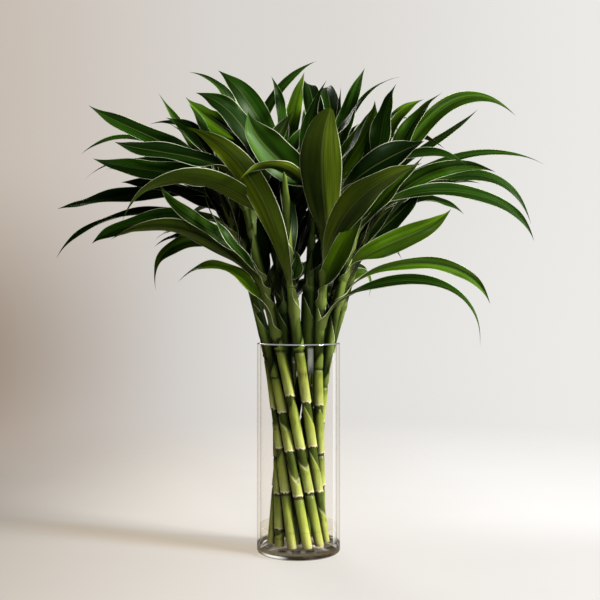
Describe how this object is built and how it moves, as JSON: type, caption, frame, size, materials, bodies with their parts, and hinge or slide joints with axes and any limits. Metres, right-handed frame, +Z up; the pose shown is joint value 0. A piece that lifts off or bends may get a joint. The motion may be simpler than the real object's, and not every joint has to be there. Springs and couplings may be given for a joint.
{
  "type": "lucky bamboo in a glass vase",
  "caption": "Bunch of lucky bamboo stalks with arching leaves, standing in shallow water in a tall clear glass cylinder vase.",
  "frame": {"origin": "middle of the vase's foot, on the surface it stands on", "axes": "+Z up along the vase, -Y is the front that the picture shows"},
  "size_m": [0.6092, 0.393, 0.6105],
  "materials": {
    "glass": "clear polished glass",
    "water": "still clear water",
    "cane": "waxy yellow-green cane with pale ragged joints",
    "leaf": "glossy deep green leaf with thin pale margins"
  },
  "bodies": {
    "root": {"vase_glass": "glass", "water": "water", "stalk_01_cane": "cane", "stalk_01_leaves": "leaf", "stalk_02_cane": "cane", "stalk_02_leaves": "leaf", "stalk_03_cane": "cane", "stalk_03_leaves": "leaf", "stalk_04_cane": "cane", "stalk_04_leaves": "leaf", "stalk_05_cane": "cane", "stalk_05_leaves": "leaf", "stalk_06_cane": "cane", "stalk_06_leaves": "leaf", "stalk_07_cane": "cane", "stalk_07_leaves": "leaf", "stalk_08_cane": "cane", "stalk_08_leaves": "leaf", "stalk_09_cane": "cane", "stalk_09_leaves": "leaf", "stalk_10_cane": "cane", "stalk_10_leaves": "leaf", "stalk_11_cane": "cane", "stalk_11_leaves": "leaf", "stalk_12_cane": "cane", "stalk_12_leaves": "leaf", "stalk_13_cane": "cane", "stalk_13_leaves": "leaf", "stalk_14_cane": "cane", "stalk_14_leaves": "leaf", "stalk_15_cane": "cane", "stalk_15_leaves": "leaf"}
  },
  "joints": []
}
